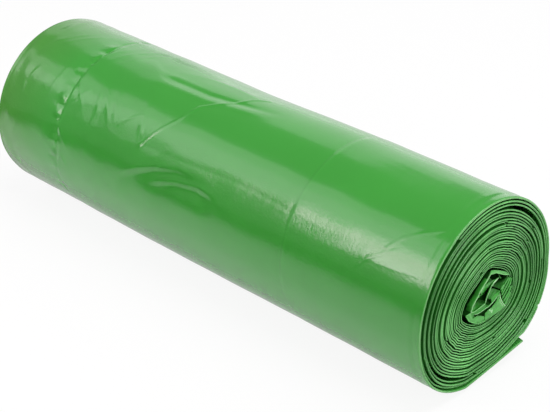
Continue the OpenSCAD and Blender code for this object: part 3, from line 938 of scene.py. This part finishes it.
# The crumpled start is darkened as painted shade deep in the hollow.
START_FILM = film_material(
    "green_film_start", (0.008, 0.065, 0.007), (0.16, 0.48, 0.14), grain=0.1, gloss=0.3, coat=0
)
FOLDS_FILM = film_material(
    "green_film_folds", (0.05, 0.36, 0.042), (0.17, 0.54, 0.15), grain=0.06, gloss=0.4, coat=0, reads_painted_shading=True
)
for piece, finish in (
    (wound, TURNS_FILM),
    (outer, BAG_FILM),
    (start, START_FILM),
    (near_folds, FOLDS_FILM),
    (far_folds, FOLDS_FILM),
):
    piece.data.materials.append(finish)
    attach(piece, "root")
    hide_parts("bag_roll")

# Floor: white to the camera and in reflections, and it keeps the roll's shadow
FLOOR_REACH = 6
FLOOR_GREY = 0.86
WHITE_TO_CAMERA = 0.9
# How bright the floor is in reflections between two places along Y: share of the way, then brightness
MIRRORED_RANGE = (-0.36, 0.6)
MIRRORED = [
    (0.03, 0), (0.104, 0.55), (0.167, 0.95), (0.24, 1.1), (0.297, 1.1), (0.331, 0.62), (0.44, 0.6),
    (0.55, 0.7), (0.72, 0.9), (1.0, 0.95),
]
floor_mesh = bpy.data.meshes.new("floor")
floor_corners = [(FLOOR_REACH * x, FLOOR_REACH * y, 0) for x, y in ((-1, -1), (1, -1), (1, 1), (-1, 1))]
floor_mesh.from_pydata(floor_corners, [], [(0, 1, 2, 3)])
floor = new_object("floor", floor_mesh)
floor_mat = bpy.data.materials.new("floor_white")
floor_mat.use_nodes = True
floor_tree = floor_mat.node_tree
matt = floor_tree.nodes["Principled BSDF"]
set_inputs(
    floor_tree, matt, {"Base Color": (*[FLOOR_GREY] * 3, 1), "Roughness": 0.9, "Specular IOR Level": 0.1}
)
floor_rays = node(floor_tree, "LightPath").outputs
floor_place = node(floor_tree, "TexCoord").outputs["Object"]
floor_y = node(floor_tree, "SeparateXYZ", {"Vector": floor_place}).outputs["Y"]
mirrored = colour_ramp(floor_tree, mapped(floor_tree, floor_y, *MIRRORED_RANGE), MIRRORED)
glow = mixed(floor_tree, floor_rays["Is Glossy Ray"], 1.0, mirrored, "FLOAT")
camera_share = calculated(floor_tree, "MULTIPLY", floor_rays["Is Camera Ray"], WHITE_TO_CAMERA)
part_white = calculated(floor_tree, "MAXIMUM", camera_share, floor_rays["Is Glossy Ray"])
white = node(floor_tree, "Emission", {"Strength": glow}).outputs["Emission"]
blend = node(floor_tree, "MixShader", {"Fac": part_white, 1: matt.outputs["BSDF"], 2: white})
set_inputs(floor_tree, floor_tree.nodes["Material Output"], {"Surface": blend.outputs["Shader"]})
floor_mesh.materials.append(floor_mat)

# Light: a faint even glow, brighter in reflections, and white behind the roll
AMBIENT = 0.09
GLOSSY_AMBIENT = 0.25
world = bpy.data.worlds.new("studio")
bpy.context.scene.world = world
world.use_nodes = True
world_tree = world.node_tree
rays = node(world_tree, "LightPath").outputs
unlit = mixed(world_tree, rays["Is Glossy Ray"], AMBIENT, GLOSSY_AMBIENT, "FLOAT")
sky = mixed(world_tree, rays["Is Camera Ray"], unlit, 1.0, "FLOAT")
set_inputs(world_tree, world_tree.nodes["Background"], {"Color": (1, 1, 1, 1), "Strength": sky})

# The roll's axis, round which the long lamps are placed, and the tint of the brightest ones
AXIS = Vector((0, 0, 0.055))
WARM = (1.0, 0.8, 0.9)


def area_lamp(name, size, radiance, place, turned, colour=(1, 1, 1)):
    """A rectangular lamp of that width and height, its face at that radiance, hidden from the camera."""
    data = bpy.data.lights.new(name, "AREA")
    data.shape = "RECTANGLE"
    data.size, data.size_y = size
    data.energy = radiance * size[0] * size[1] * math.pi
    data.color = colour
    obj = new_object(name, data)
    obj.matrix_world = Matrix.Translation(place) @ turned
    obj.visible_camera = False


def softbox(name, angles, x_range, radiance, distance=1.0, facing=None, colour=(1, 1, 1)):
    """A long lamp over a range of angles from straight up, positive on the -Y side, and a range of X."""
    middle = math.radians(sum(angles) / 2 if facing is None else facing)
    low, high = (distance * math.tan(math.radians(angle) - middle) for angle in angles)
    away = Vector((0, -math.sin(middle), math.cos(middle)))
    side = Vector((1, 0, 0))
    onward = side.cross(away)
    place = AXIS + away * distance + onward * (low + high) / 2 + side * (sum(x_range) / 2)
    turned = Matrix((side, -onward, away)).transposed().to_4x4()
    area_lamp(name, (x_range[1] - x_range[0], high - low), radiance, place, turned, colour)


softbox("front_high", (13, 30), (-1.4, -0.95), 1.15)
softbox("front_upper", (18, 30), (-0.95, -0.25), 1.45)
softbox("front_middle", (30, 44), (-1.4, -0.25), 2.1)
softbox("front_low_far", (44, 45), (-1.4, -1.1), 2.4)
softbox("front_low", (44, 66), (-1.05, -0.93), 1.9)
softbox("front_low_near", (44, 50.5), (-0.9, -0.25), 2.4)
softbox("near_key", (50, 73), (-0.575, -0.15), 6.0, colour=WARM)
softbox("key_core", (50, 60), (-0.65, -0.55), 7.2, colour=WARM)
softbox("key_rise", (43, 50), (-0.57, -0.3), 2.6, colour=WARM)
softbox("key_end", (60, 72), (-0.55, -0.4), 2.2)
softbox("back_high", (-45, -21), (-1.45, -0.92), 0.6)
softbox("back_low_far", (-90, -45), (-1.45, -1.05), 0.8)
# The back lamp falls away in steps towards the near end, all in one plane.
BACK_STEPS = [
    (-29, (-1.05, -0.66)), (-34, (-0.66, -0.6)), (-43, (-0.6, -0.54)), (-53, (-0.54, -0.48)),
    (-63, (-0.48, -0.38)),
]
for k, (upper, x_range) in enumerate(BACK_STEPS):
    softbox(f"back_near_{k}", (-90, upper), x_range, 0.9, facing=-60)
softbox("top", (-28, 18), (-0.05, 0.75), 4.5, distance=1.25)
softbox("back_top", (-64, -28), (0.0, 0.8), 2.3, distance=1.25)

# A square lamp in front of the near end, turned towards its middle
PANEL_SIDE = 0.8
PANEL_PLACE = Vector((1.25, -0.12, 0.72))
PANEL_TARGET = Vector((0.175, 0, 0.055))
panel_away = (PANEL_PLACE - PANEL_TARGET).normalized()
panel_turn = panel_away.to_track_quat("Z", "Y").to_matrix().to_4x4()
area_lamp("end", (PANEL_SIDE, PANEL_SIDE), 3.2, PANEL_PLACE, panel_turn)

# Camera: its directions, and how far the roll's middle lies to its right, below it and ahead of it
PICTURE_WIDTH = 550
FOCAL_PIXELS = 1507.9
SENSOR_WIDTH = 36
CAM_RIGHT = Vector((0.71405, 0.7001, 0.0))
CAM_DOWN = Vector((0.33721, -0.34394, -0.87635))
CAM_FORWARD = Vector((-0.61353, 0.62576, -0.48167))
OBJECT_MIDDLE = Vector((0, 0, 0.053))
RIGHT, DOWN, AHEAD = -0.01345, -0.01051, 0.89771
camera_data = bpy.data.cameras.new("camera")
camera_data.sensor_width = SENSOR_WIDTH
camera_data.lens = FOCAL_PIXELS / PICTURE_WIDTH * SENSOR_WIDTH
camera_data.clip_start = 0.01
camera = new_object("camera", camera_data)
eye = OBJECT_MIDDLE - CAM_RIGHT * RIGHT - CAM_DOWN * DOWN - CAM_FORWARD * AHEAD
camera_turn = Matrix((CAM_RIGHT, -CAM_DOWN, -CAM_FORWARD)).transposed().to_4x4()
camera.matrix_world = Matrix.Translation(eye) @ camera_turn
bpy.context.scene.camera = camera
bpy.context.scene.view_settings.view_transform = "Standard"
